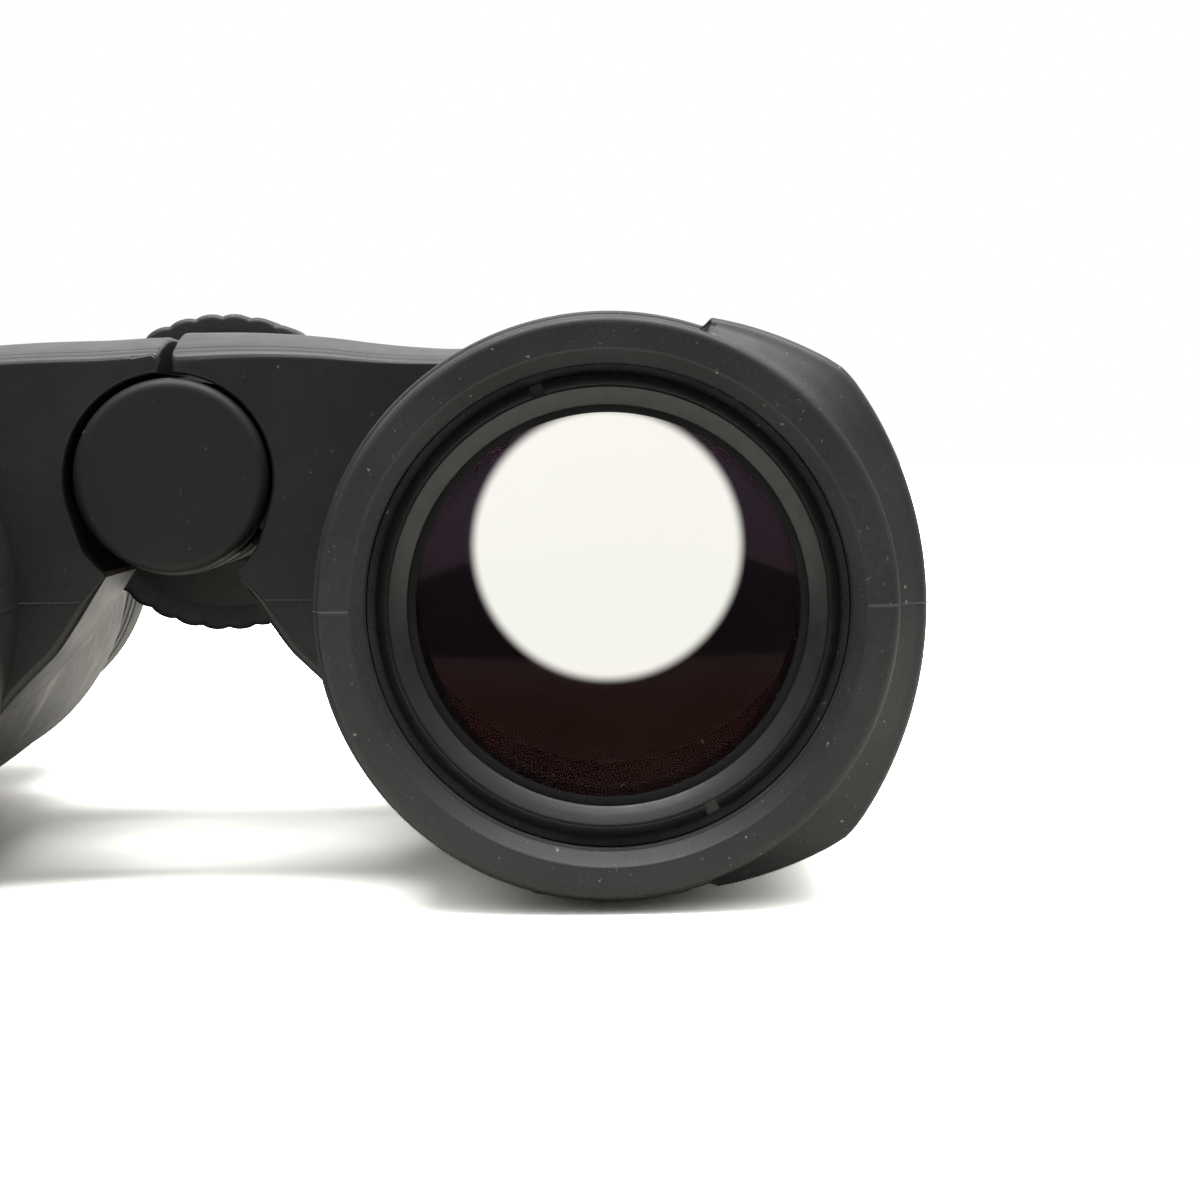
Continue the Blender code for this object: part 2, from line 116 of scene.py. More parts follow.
# Objective
LENS_CLEAR_R = 16.0
CROWN_FRONT, FLINT_BACK = 4.0, 12.1
# Radius and soft edge of the painted glow on the prism face
PAINTED_DAYLIGHT_R, PAINTED_DAYLIGHT_SOFT = 5.55, 0.28

# Camera and staging
CAMERA_AWAY, CAMERA_ABOVE = 225.0, 13.7
CAMERA_PITCH, CAMERA_YAW, CAMERA_ROLL = -3.3, 0.16, -0.765
FLOOR_AHEAD, FLOOR_HALF = 86.0, 1500.0


# ---------------------------------------------------------------- mesh making


def y_at(depth):
    return FRONT + depth


def mesh_object(name, verts, faces, mat, body, replaces=(), sharp=32):
    """Piece from points in millimetres, smooth shaded except over sharp edges, riding on a CAD body."""
    bm = bmesh.new()
    made = [bm.verts.new(Vector(v) * MM) for v in verts]
    for face in faces:
        bm.faces.new([made[i] for i in face])
    return finish_mesh(name, bm, mat, body, replaces, sharp)


def finish_mesh(name, bm, mat, body, replaces=(), sharp=32):
    bmesh.ops.recalc_face_normals(bm, faces=bm.faces)
    mesh = bpy.data.meshes.new(name)
    bm.to_mesh(mesh)
    bm.free()
    mesh.shade_smooth()
    mesh.set_sharp_from_angle(angle=radians(sharp))
    obj = bpy.data.objects.new(name, mesh)
    obj.data.materials.append(mat)
    bpy.context.scene.collection.objects.link(obj)
    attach(obj, body)
    if replaces:
        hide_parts(*replaces)
    return obj


def rounded(points, steps=4):
    """Closed outline in which a point given as (a, b, radius) is rounded to that radius."""
    out = []
    count = len(points)
    for index, point in enumerate(points):
        here = Vector(point[:2])
        if len(point) < 3 or point[2] == 0:
            out.append(tuple(here))
            continue
        before = (Vector(points[index - 1][:2]) - here).normalized()
        after = (Vector(points[(index + 1) % count][:2]) - here).normalized()
        half = before.angle(after) / 2
        reach = point[2] / max(0.05, abs(sin(half) / cos(half)))
        start, end = here + before * reach, here + after * reach
        middle = here + (before + after).normalized() * (point[2] / sin(half))
        first = atan2(start.y - middle.y, start.x - middle.x)
        turn = atan2(end.y - middle.y, end.x - middle.x) - first
        turn = (turn + pi) % (2 * pi) - pi
        for step in range(steps + 1):
            angle = first + turn * step / steps
            out.append((middle.x + point[2] * cos(angle), middle.y + point[2] * sin(angle)))
    return out


def lathe_bm(profile, centre, segments, ripple=None):
    """Ring swept round an axis along Y from a closed (radius, depth) outline; a zero radius is a pole."""
    bm = bmesh.new()
    rings = []
    for radius, depth in profile:
        if radius < 1e-6:
            rings.append([bm.verts.new(Vector((centre[0], y_at(depth), centre[1])) * MM)])
            continue
        ring = []
        for step in range(segments):
            angle = 2 * pi * step / segments
            r = radius + (ripple(radius, depth, angle) if ripple else 0.0)
            spot = Vector((centre[0] + r * cos(angle), y_at(depth), centre[1] + r * sin(angle)))
            ring.append(bm.verts.new(spot * MM))
        rings.append(ring)
    for index in range(len(rings)):
        a, b = rings[index], rings[(index + 1) % len(rings)]
        if len(a) == 1 and len(b) == 1:
            continue
        for step in range(segments):
            after = (step + 1) % segments
            corners = [a[step % len(a)], a[after % len(a)], b[after % len(b)], b[step % len(b)]]
            bm.faces.new(list(dict.fromkeys(corners)))
    return bm


def lathe(name, profile, centre, mat, body, replaces=(), segments=160, ripple=None, sharp=32, steps=4):
    bm = lathe_bm(rounded(profile, steps), centre, segments, ripple)
    return finish_mesh(name, bm, mat, body, replaces, sharp)


def tube(inner, outer, front, back, edge=0.15):
    """Outline of a plain ring, or of a disc where the inner radius is zero."""
    return [(inner, front, edge), (outer, front, edge), (outer, back, edge), (inner, back, edge)]


def line_mix(points, at):
    """Value at a place on a line through (place, value) points."""
    if at <= points[0][0]:
        return points[0][1]
    for (a, va), (b, vb) in zip(points, points[1:]):
        if at <= b:
            return va + (vb - va) * (at - a) / (b - a)
    return points[-1][1]


def smooth(edge0, edge1, value):
    t = min(1.0, max(0.0, (value - edge0) / (edge1 - edge0)))
    return t * t * (3 - 2 * t)


def spline(points, steps=6):
    """Catmull-Rom line through the points."""
    out = []
    last = len(points) - 1
    for index in range(last):
        p0, p1, p2, p3 = (Vector(points[min(last, max(0, index + k))]) for k in (-1, 0, 1, 2))
        for step in range(steps):
            t = step / steps
            out.append(tuple(0.5 * (2 * p1 + (p2 - p0) * t + (2 * p0 - 5 * p1 + 4 * p2 - p3) * t * t
                                    + (3 * p1 - p0 - 3 * p2 + p3) * t ** 3)))
    out.append(tuple(points[-1]))
    return out


def drawn_solid(name, edges, levels, side, mat, body, weight=None):
    """Solid between a front and a back face whose outline changes with depth.

    edges is a list of (points, kind) stretches that follow each other round the outline, and levels maps a kind to
    (depth, inset) points: how far that stretch of wall stands inside the outline at each depth. weight(x, z) scales
    the insets from place to place.
    """
    outline, kinds = [], []
    for points, kind in edges:
        outline += points[:-1]
        kinds += [kind] * (len(points) - 1)
    count = len(outline)
    depths = sorted({depth for line in levels.values() for depth, _ in line})
    turned = sum(a[0] * b[1] - b[0] * a[1] for a, b in zip(outline, outline[1:] + outline[:1]))
    sign = 1.0 if turned > 0 else -1.0
    normals = []
    for index in range(count):
        a, b = Vector(outline[index]), Vector(outline[(index + 1) % count])
        along = (b - a).normalized()
        normals.append(Vector((along.y, -along.x)) * sign)
    verts = []
    for depth in depths:
        for index in range(count):
            n1, n2 = normals[index - 1], normals[index]
            a1 = line_mix(levels[kinds[index - 1]], depth)
            a2 = line_mix(levels[kinds[index]], depth)
            if weight:
                a1, a2 = (a * weight(*outline[index]) for a in (a1, a2))
            cross = n1.x * n2.y - n1.y * n2.x
            if abs(cross) < 0.12:
                shift = (n1 + n2).normalized() * (-(a1 + a2) / 2)
            else:
                shift = Vector(((-a1 * n2.y + a2 * n1.y) / cross, (a1 * n2.x - a2 * n1.x) / cross))
            x, z = outline[index][0] + shift.x, outline[index][1] + shift.y
            verts.append((HINGE.x + side * x, y_at(depth), HINGE.y + z))
    faces = []
    for level in range(len(depths) - 1):
        for index in range(count):
            after = (index + 1) % count
            low, high = level * count, (level + 1) * count
            faces.append((low + index, low + after, high + after, high + index))
    faces.append(tuple(range(count)))
    faces.append(tuple((len(depths) - 1) * count + i for i in range(count)))
    return mesh_object(name, verts, faces, mat, body)


def edge_levels(front, back, radius):
    """Insets of a wall whose front and back edges are rounded."""
    line = []
    for step in range(5):
        angle = pi / 2 * step / 4
        line.append((front + radius * (1 - cos(angle)), radius * (1 - sin(angle))))
    for step in range(5):
        angle = pi / 2 * (1 - step / 4)
        line.append((back - radius * (1 - cos(angle)), radius * (1 - sin(angle))))
    return line


# ---------------------------------------------------------------- materials


def new_material(name):
    mat = bpy.data.materials.new(name)
    mat.use_nodes = True
    nodes = mat.node_tree.nodes
    return mat, nodes, mat.node_tree.links, nodes["Principled BSDF"]


def noise(nodes, links, coords, scale, detail=3.0, roughness=0.55):
    node = nodes.new("ShaderNodeTexNoise")
    node.inputs["Scale"].default_value = scale
    node.inputs["Detail"].default_value = detail
    node.inputs["Roughness"].default_value = roughness
    links.new(coords, node.inputs["Vector"])
    return node.outputs["Fac"]


def remap(nodes, links, value, low, high, to_low, to_high):
    node = nodes.new("ShaderNodeMapRange")
    node.inputs["From Min"].default_value = low
    node.inputs["From Max"].default_value = high
    node.inputs["To Min"].default_value = to_low
    node.inputs["To Max"].default_value = to_high
    links.new(value, node.inputs["Value"])
    return node.outputs["Result"]


def maths(nodes, links, operation, a, b=None):
    node = nodes.new("ShaderNodeMath")
    node.operation = operation
    for socket, value in zip(node.inputs, (a, b)):
        if value is None:
            continue
        if isinstance(value, (int, float)):
            socket.default_value = value
        else:
            links.new(value, socket)
    return node.outputs[0]


def mix_colour(nodes, links, factor, a, b):
    node = nodes.new("ShaderNodeMix")
    node.data_type = "RGBA"
    links.new(factor, node.inputs["Factor"])
    for socket, value in ((node.inputs[6], a), (node.inputs[7], b)):
        if isinstance(value, tuple):
            socket.default_value = (*value, 1.0)
        else:
            links.new(value, socket)
    return node.outputs[2]


def object_coords(nodes):
    return nodes.new("ShaderNodeTexCoord").outputs["Object"]


def split_vector(nodes, links, vector):
    node = nodes.new("ShaderNodeSeparateXYZ")
    links.new(vector, node.inputs["Vector"])
    return node.outputs


def add_bump(nodes, links, shader, height, strength, distance):
    bump = nodes.new("ShaderNodeBump")
    bump.inputs["Strength"].default_value = strength
    bump.inputs["Distance"].default_value = distance
    links.new(height, bump.inputs["Height"])
    links.new(bump.outputs["Normal"], shader.inputs["Normal"])


def shades(colour, dark, light):
    """A darker and a lighter shade of a colour."""
    return tuple(c * dark for c in colour), tuple(min(1.0, c * light) for c in colour)


def ragged_coords(nodes, links, coords):
    """Places shaken by a fine noise, so that specks come out ragged and drawn out like lint."""
    shake = nodes.new("ShaderNodeTexNoise")
    shake.inputs["Scale"].default_value = 1500
    shake.inputs["Detail"].default_value = 2
    links.new(coords, shake.inputs["Vector"])
    scaled = nodes.new("ShaderNodeVectorMath")
    scaled.operation = "SCALE"
    scaled.inputs["Scale"].default_value = 0.0011
    links.new(shake.outputs["Color"], scaled.inputs[0])
    total = nodes.new("ShaderNodeVectorMath")
    links.new(coords, total.inputs[0])
    links.new(scaled.outputs["Vector"], total.inputs[1])
    return total.outputs["Vector"]


def specks(nodes, links, coords, cells_per_m, size, kept):
    """Mask of small dots, one in some of the cells."""
    node = nodes.new("ShaderNodeTexVoronoi")
    node.inputs["Scale"].default_value = cells_per_m
    links.new(coords, node.inputs["Vector"])
    near = remap(nodes, links, node.outputs["Distance"], size * 0.6, size, 1.0, 0.0)
    split = nodes.new("ShaderNodeSeparateColor")
    links.new(node.outputs["Color"], split.inputs["Color"])
    chosen = maths(nodes, links, "LESS_THAN", split.outputs["Red"], kept)
    return maths(nodes, links, "MULTIPLY", near, chosen)


def matte_black(name, colour, roughness, grain=0.00002, grain_scale=5200, dust=0.25, specular=0.5):
    """Moulded black rubber or plastic: fine grain, handling marks, dust and lint."""
    mat, nodes, links, shader = new_material(name)
    coords = object_coords(nodes)
    cloud = remap(nodes, links, noise(nodes, links, coords, 90, 4), 0.35, 0.68, 0, 1)
    grit = remap(nodes, links, noise(nodes, links, coords, 3600, 2), 0.3, 0.7, -0.35, 0.35)
    base = mix_colour(nodes, links, maths(nodes, links, "ADD", cloud, grit), *shades(colour, 0.86, 1.36))
    ragged = ragged_coords(nodes, links, coords)
    dots = specks(nodes, links, ragged, 620, 0.108, dust)
    fine = specks(nodes, links, ragged, 1900, 0.16, dust * 0.8)
    dusty = maths(nodes, links, "MAXIMUM", dots, maths(nodes, links, "MULTIPLY", fine, 0.45))
    tinted = mix_colour(nodes, links, maths(nodes, links, "MULTIPLY", dusty, 0.5), base, (0.3, 0.3, 0.29))
    links.new(tinted, shader.inputs["Base Color"])
    rub = noise(nodes, links, coords, 340, 5, 0.65)
    links.new(remap(nodes, links, rub, 0.3, 0.7, roughness - 0.04, roughness + 0.05), shader.inputs["Roughness"])
    shader.inputs["Specular IOR Level"].default_value = specular
    add_bump(nodes, links, shader, noise(nodes, links, coords, grain_scale, 2), 0.35, grain)
    return mat


def turned_metal(name, colour, roughness, metallic):
    """Metal or anodised aluminium with fine lathe lines across the depth and small wear marks."""
    mat, nodes, links, shader = new_material(name)
    coords = object_coords(nodes)
    cloud = noise(nodes, links, coords, 260, 4)
    links.new(mix_colour(nodes, links, cloud, *shades(colour, 0.85, 1.25)), shader.inputs["Base Color"])
    rub = noise(nodes, links, coords, 900, 4)
    links.new(remap(nodes, links, rub, 0.3, 0.7, roughness - 0.06, roughness + 0.08), shader.inputs["Roughness"])
    shader.inputs["Metallic"].default_value = metallic
    lines = nodes.new("ShaderNodeTexWave")
    lines.bands_direction = "Y"
    lines.inputs["Scale"].default_value = 900
    lines.inputs["Distortion"].default_value = 1.5
    lines.inputs["Detail"].default_value = 2
    links.new(coords, lines.inputs["Vector"])
    add_bump(nodes, links, shader, lines.outputs["Fac"], 0.5, 0.000004)
    return mat


def coated_glass(name, tint, reflection_tint_below, reflection_tint_above, share, ior=1.5):
    """Clear glass whose faces mirror only a little, in the coating's tint; where the tints below and above differ,
    the mirror's colour shifts with height as painted reflection.
    """
    mat, nodes, links, shader = new_material(name)
    nodes.remove(shader)
    through = nodes.new("ShaderNodeBsdfRefraction")
    through.inputs["IOR"].default_value = ior
    through.inputs["Roughness"].default_value = 0.0
    coords = object_coords(nodes)
    cloud = noise(nodes, links, coords, 40, 2)
    links.new(mix_colour(nodes, links, cloud, *shades(tint, 1.0, 0.97)), through.inputs["Color"])
    mirror = nodes.new("ShaderNodeBsdfGlossy")
    mirror.inputs["Roughness"].default_value = 0.02
    # Painted reflection: the mirror's tint runs from the tint below to the tint above, over 8 mm either side of the
    # axis
    axis_z = BARRELS[1].y * MM
    place = split_vector(nodes, links, coords)
    height = remap(nodes, links, place["Z"], axis_z - 8 * MM, axis_z + 8 * MM, 0.0, 1.0)
    links.new(mix_colour(nodes, links, height, reflection_tint_below, reflection_tint_above), mirror.inputs["Color"])
    mix = nodes.new("ShaderNodeMixShader")
    mix.inputs["Fac"].default_value = share
    links.new(through.outputs["BSDF"], mix.inputs[1])
    links.new(mirror.outputs["BSDF"], mix.inputs[2])
    links.new(mix.outputs["Shader"], nodes["Material Output"].inputs["Surface"])
    return mat


def painted_daylight(name, centre, radius, softness):
    """Painted glow: an emissive round field that stands in for the light of day coming down the barrel from the
    eyepiece, dark outside its soft edge.
    """
    mat, nodes, links, shader = new_material(name)
    place = split_vector(nodes, links, object_coords(nodes))
    dx = maths(nodes, links, "SUBTRACT", place["X"], centre.x * MM)
    dz = maths(nodes, links, "SUBTRACT", place["Z"], centre.y * MM)
    squares = maths(nodes, links, "ADD", maths(nodes, links, "MULTIPLY", dx, dx),
                    maths(nodes, links, "MULTIPLY", dz, dz))
    distance = maths(nodes, links, "SQRT", squares)
    lit = remap(nodes, links, distance, (radius - softness) * MM, (radius + softness) * MM, 1.0, 0.0)
    soft = nodes.new("ShaderNodeMapRange")
    soft.interpolation_type = "SMOOTHSTEP"
    links.new(lit, soft.inputs["Value"])
    glow = mix_colour(nodes, links, soft.outputs["Result"], (0.0, 0.0, 0.0), (0.93, 0.945, 0.86))
    links.new(glow, shader.inputs["Emission Color"])
    shader.inputs["Emission Strength"].default_value = 1.13
    shader.inputs["Base Color"].default_value = (0.008, 0.006, 0.007, 1.0)
    shader.inputs["Roughness"].default_value = 0.8
    return mat


MATS = {}


def make_materials():
    MATS["rubber"] = matte_black("rubber_armour", (0.0172, 0.0179, 0.0188), 0.45, dust=0.36, specular=0.35)
    MATS["lip"] = matte_black("dusty_lip", (0.04, 0.04, 0.04), 0.85, dust=0.5, specular=0.2)
    MATS["arm"] = matte_black("bridge_rubber", (0.0115, 0.0118, 0.0122), 0.38, dust=0.08, specular=0.4)
    MATS["cup"] = matte_black("eyecup_rubber", (0.014, 0.014, 0.015), 0.6)
    MATS["wheel"] = matte_black("wheel_rubber", (0.013, 0.0145, 0.017), 0.45, specular=0.4)
    MATS["plastic"] = matte_black("black_plastic", (0.007, 0.007, 0.0075), 0.4, 0.00001, specular=0.4)
    MATS["cap"] = matte_black("cap_plastic", (0.005, 0.005, 0.0052), 0.55, 0.000012, 6500, 0.05, specular=0.35)
    MATS["paint"] = matte_black("body_paint", (0.012, 0.012, 0.013), 0.4, 0.000012)
    MATS["seal"] = matte_black("seal_rubber", (0.01, 0.01, 0.01), 0.7)
    # Near-black: the lens spacer is blackened, and on the arms' pocket walls it is painted shade in the gap round the
    # hinge cap
    MATS["void"] = matte_black("blackened_spacer_and_pocket_shade", (0.009, 0.009, 0.0095), 0.8, dust=0.0, specular=0.15)
    MATS["anodised"] = turned_metal("black_anodised", (0.0065, 0.0075, 0.0073), 0.35, 0.0)
    MATS["steel"] = turned_metal("steel", (0.5, 0.5, 0.5), 0.3, 1.0)
    MATS["brass"] = turned_metal("brass", (0.62, 0.45, 0.18), 0.28, 1.0)
    clear, pink, grey = (0.99, 0.985, 0.99), (0.8, 0.35, 0.5), (0.8, 0.8, 0.8)
    # Red-brown below and violet above: painted reflection on the objective's coating
    red_brown_reflection_below, violet_reflection_above = (0.42, 0.2, 0.17), (0.85, 0.6, 0.95)
    MATS["lens"] = coated_glass("coated_lens", clear, pink, pink, 0.004)
    MATS["objective"] = coated_glass("coated_objective", clear, red_brown_reflection_below, violet_reflection_above, 0.014, 1.6)
    MATS["prism"] = coated_glass("prism_glass", (0.93, 0.95, 0.94), grey, grey, 0.04)
    # Near-black for the blackened inner parts; its faint wine tint is painted reflection of the objective's coating
    MATS["tunnel"] = matte_black("tunnel_black_painted_wine_tint", (0.008, 0.004, 0.006), 0.7, specular=0.12)


# ---------------------------------------------------------------- armour


def grip_radius(angle):
    """Radius of the side grip at an angle from outboard, in degrees."""
    if angle <= GRIP_CORNER:
        corner_x = GRIP_CORNER_R * cos(radians(GRIP_CORNER))
        corner_z = GRIP_CORNER_R * sin(radians(GRIP_CORNER))
        middle = (GRIP_R**2 - corner_x**2 - corner_z**2) / (2 * (GRIP_R - corner_x))
        sweep = GRIP_R - middle
        turn = radians(angle)
        return middle * cos(turn) + sqrt(sweep**2 - (middle * sin(turn)) ** 2)
    along = min(1.0, (angle - GRIP_CORNER) / (GRIP_FLANK - GRIP_CORNER))
    return GRIP_CORNER_R + (GRIP_FLANK_R - GRIP_CORNER_R) * along**0.85


def base_radius(depth):
    """Radius of the skin beside the grip, with its waist next to the focus wheel."""
    if depth < 55.0:
        return SKIN_R + (WAIST_R - SKIN_R) * smooth(31.0, 47.0, depth)
    return WAIST_R + (REAR_R - WAIST_R) * smooth(58.0, 80.0, depth)


def skin_angles():
    """Angles round the barrel, closer together at the grip's corners and ends and beside the mould seam."""
    angles = {i * 1.5 for i in range(240)}
    for centre, reach, step in ((GRIP_CORNER, 4.0, 0.5), (GRIP_FLANK, 2.0, 0.25)):
        for sign in (1, -1):
            count = int(reach / step)
            angles |= {(sign * centre + k * step) % 360 for k in range(-count, count + 1)}
    for seam in (0.0, 180.0):
        angles |= {(seam + k) % 360 for k in (-0.7, -0.2, 0.0, 0.2, 0.7)}
    return sorted(angles)


def skin_profile(angle):
    """(radius, depth) line round the barrel skin, from bore to bore, at an angle in degrees from outboard."""
    off = abs((angle + 180) % 360 - 180)
    on_grip = 1.0 - smooth(GRIP_FLANK - 0.7, GRIP_FLANK + 0.9, off)
    soft_corner = 0.14 * max(0.0, 1 - abs(off - GRIP_CORNER) / 4.0) ** 2
    at_end = smooth(35, 68, off)
    valley = 1.05 + on_grip * (0.25 + 2.2 * at_end)
    line = [(SKIN_BORE_R, SKIN_END), (SKIN_BORE_R, 60.0), (SKIN_BORE_R, 30.0), (SKIN_BORE_R, LIP_DEPTH)]
    line += [(LIP_BACK_R, LIP_DEPTH), ((LIP_R + LIP_BACK_R) / 2, 4.5), (LIP_R + 0.01, LIP_CHAMFER + 0.3)]
    line += [(LIP_R, LIP_CHAMFER + 0.1), (LIP_R + 0.04, LIP_CHAMFER), (LIP_R + 0.14, LIP_CHAMFER - 0.11)]
    line += [(RIM_FLAT_R - 0.16, 0.17), (RIM_FLAT_R - 0.05, 0.06), (RIM_FLAT_R + 0.05, 0.0), (RIM_FLAT_R + 0.16, 0.0)]
    line += [(RIM_R - RIM_ROUND - 0.1, 0.0), (RIM_R - RIM_ROUND, 0.0)]
    for step in range(1, 6):
        turn = pi / 2 * step / 5
        line.append((RIM_R - RIM_ROUND * (1 - sin(turn)), RIM_ROUND * (1 - cos(turn))))
    outer = grip_radius(off) - soft_corner
    face = base_radius(3.0) + on_grip * (outer - base_radius(3.0))
    front = valley + 0.35 + on_grip * 0.75
    edge = 0.3 + 0.35 * on_grip
    line += [(RIM_R - 0.02, valley), (RIM_R + 0.12, valley + 0.12)]
    for part in (0.35, 0.7, 1.0):
        line.append((RIM_R + 0.12 + (face - edge - RIM_R - 0.12) * part, valley + 0.12 + (front - valley) * part))
    for step in range(1, 5):
        turn = pi / 2 * step / 4
        line.append((face - edge * (1 - sin(turn)), front + 0.12 + 1.3 * edge * (1 - cos(turn))))
    for depth in (6, 10, 16, 22, 28, *range(31, 48, 2), 50, 55, 58, *range(61, 76, 3), GRIP_BACK - 0.8):
        base = base_radius(depth)
        line.append((base + on_grip * (max(outer, base) - base), depth))
    behind = base_radius(GRIP_BACK) + on_grip * 0.35
    line += [(behind + on_grip * (outer - behind) * 0.8, GRIP_BACK - 0.2), (behind, GRIP_BACK + 0.5)]
    line += [(REAR_R, 80.2), (REAR_R - 0.12, 81.2), (REAR_R - 0.3, 81.7), (REAR_R - 0.45, SKIN_END)]
    return line


def barrel_skin(side):
    """Rubber skin of a barrel: front rim with its chamfered lip, side grip, waist beside the focus wheel."""
    centre = BARRELS[side]
    angles = skin_angles()
    count = len(skin_profile(0.0))
    # Rows of skin_profile where the rim's face and its side begin, and the rows of the lip's wall
    rim_row, side_row, lip_rows = 10, 16, (3, 4, 5)
    verts, faces = [], []
    for angle in angles:
        turn = radians(angle)
        seam = SEAM_HEIGHT if angle in (0.0, 180.0) else 0.0
        for row, (radius, depth) in enumerate(skin_profile(angle)):
            if row >= rim_row:
                depth -= seam
            if row >= side_row:
                radius += seam
            verts.append((centre.x + side * radius * cos(turn), y_at(depth), centre.y + radius * sin(turn)))
    for column in range(len(angles)):
        after = (column + 1) % len(angles)
        for row in range(count):
            below = (row + 1) % count
            faces.append((column * count + row, after * count + row, after * count + below, column * count + below))
    skin = mesh_object(f"barrel_skin_{TAGS[side]}", verts, faces, MATS["rubber"], HALVES[side],
                       (f"armour_{TAGS[side]}",), 40)
    skin.data.materials.append(MATS["lip"])
    for face in skin.data.polygons:
        if face.index % count in lip_rows:
            face.material_index = 1


def foot(side, front, back):
    """Low flat foot moulded under the barrel."""
    centre = BARRELS[side]
    half, top = 7.0, 4.0
    outline = rounded([(-half, top), (-half, 0, 0.9), (half, 0, 0.9), (half, top)], 3)
    verts, faces = [], []
    levels = ((front, 0.8), (front + 0.25, 0.25), (front + 0.9, 0.0),
              (back - 0.9, 0.0), (back - 0.25, 0.25), (back, 0.8))
    for depth, inset in levels:
        for x, z in outline:
            shrink = (half - inset) / half
            verts.append((centre.x + x * shrink, y_at(depth), max(z, inset) if z < 1 else z))
    count = len(outline)
    for level in range(len(levels) - 1):
        for index in range(count):
            after = (index + 1) % count
            a, b = level * count, (level + 1) * count
            faces.append((a + index, a + after, b + after, b + index))
    faces += [tuple(range(count)), tuple((len(levels) - 1) * count + i for i in range(count))]
    mesh_object(f"foot_{TAGS[side]}_{int(front)}", verts, faces, MATS["rubber"], HALVES[side])


def arc_points(radius, start, end, steps):
    """Points on a circle about the hinge axis, angles in degrees."""
    points = []
    for step in range(steps + 1):
        angle = radians(start + (end - start) * step / steps)
        points.append((radius * cos(angle), radius * sin(angle)))
    return points


def reach_of_barrel(x, z):
    """Distance from the barrel's axis of a place given from the hinge axis."""
    return hypot(x - BARRELS[1].x, z + HINGE.y - BARRELS[1].y)


def barrel_arc(radius, start, end, steps):
    """Points round the barrel's axis, given from the hinge axis, angles in degrees."""
    shift = Vector((BARRELS[1].x, BARRELS[1].y - HINGE.y))
    return [(x + shift.x, z + shift.y) for x, z in arc_points(radius, start, end, steps)]


def arm_outline(side):
    """Stretches of the front arm's outline, and the count of points on its hinge pocket."""
    ridge = {1: [12.25, 12.25, 12.2, 12.0, 11.65, 11.1, 10.75], -1: [11.9, 11.85, 11.7, 11.65, 11.55, 11.3, 10.95]}
    top = list(zip((SLOT, 3.0, 6.0, 9.5, 13.0, 17.0, 20.5), ridge[side]))
    top = spline(top + [(24.0, 10.6), (26.5, 11.1), (30.0, 12.2)], 4)
    lower = spline([(5.45, -8.15), (7.1, -10.65), (8.05, -12.15), (9.55, -14.3), (10.85, -15.65), (12.25, -17.0),
                    (14.4, -19.3), (17.2, -22.6), (20.0, -25.8)], 4)
    inside = barrel_arc(19.3, 222.0, 105.0, 20)
    pocket = spline([(5.5, -7.75), (6.2, -7.1), (7.1, -6.0), (7.5, -4.95), (7.95, -3.6)], 4)[:-1]
    pocket += arc_points(POCKET_R, -22.0, degrees(atan2(sqrt(POCKET_R**2 - SLOT**2), SLOT)), 32)
    play = -0.15 * side
    pocket = [(x + play, z) for x, z in pocket]
    top = [(SLOT + play, top[0][1])] + [point for point in top if point[0] > 2.4]
    edges = [
        ([pocket[-1], top[0]], "slot"),
        (top, "top"),
        ([top[-1], inside[-1]], "inside"),
        (list(reversed(inside)), "inside"),
        ([inside[0], lower[-1]], "inside"),
        (list(reversed(lower)), "lower"),
        ([lower[0], pocket[0]], "pocket"),
        (pocket, "pocket"),
    ]
    return edges, len(pocket)


def front_arm(side):
    """Rubber skin of the front bridge arm, from the slot over the hinge down to where it runs into the barrel."""
    edges, pocket_count = arm_outline(side)
    front = ARM_FRONT
    slope = [(0.0, 2.2), (0.03, 1.98), (0.15, 1.75), (0.35, 1.56), (0.65, 1.39), (1.0, 1.28), (1.25, 1.24),
             (1.4, 1.34), (1.6, 1.16), (3.0, 0.82), (4.5, 0.5), (6.0, 0.24), (7.5, 0.07), (9.0, 0.0)]
    back_edge = [(28.9, 0.12), (29.4, 0.42), (29.8, 0.9), (ARM_BACK, 1.5)]
    levels = {
        "top": [(front + depth, inset) for depth, inset in slope] + back_edge,
        "lower": edge_levels(front, ARM_BACK, 0.7),
        "slot": edge_levels(front, ARM_BACK, 0.4),
        "pocket": edge_levels(front, ARM_BACK, 0.3),
        "inside": [(front, 0.0), (ARM_BACK, 0.0)],
    }

    def weight(x, z):
        """Less inset beside the barrel and at the tip under the hinge, and a right top that leans to the slot."""
        off_barrel = smooth(22.2, 23.5, reach_of_barrel(x, z))
        off_tip = 0.35 + 0.65 * smooth(0.5, 4.0, hypot(x - 5.5, z + 8.0))
        lean = 1.33 - 0.0255 * x if side == 1 and z > 6.0 else 1.0
        return off_barrel * off_tip * lean

    arm = drawn_solid(f"front_arm_{TAGS[side]}", edges, levels, side, MATS["arm"], HALVES[side],
                      weight)
    count = sum(len(points) - 1 for points, _ in edges)
    # The pocket's walls behind the front edge take the near-black material: painted shade in the gap round the hinge
    # cap
    first_wall, first_pocket = 5, count - pocket_count + 1
    arm.data.materials.append(MATS["void"])
    for face in arm.data.polygons:
        if face.index // count >= first_wall and face.index % count >= first_pocket:
            face.material_index = 1
    soften_column(arm, 1, count, 1.3)
    arm.modifiers.new("even_face", "WEIGHTED_NORMAL").keep_sharp = True
    arm_seam(side)


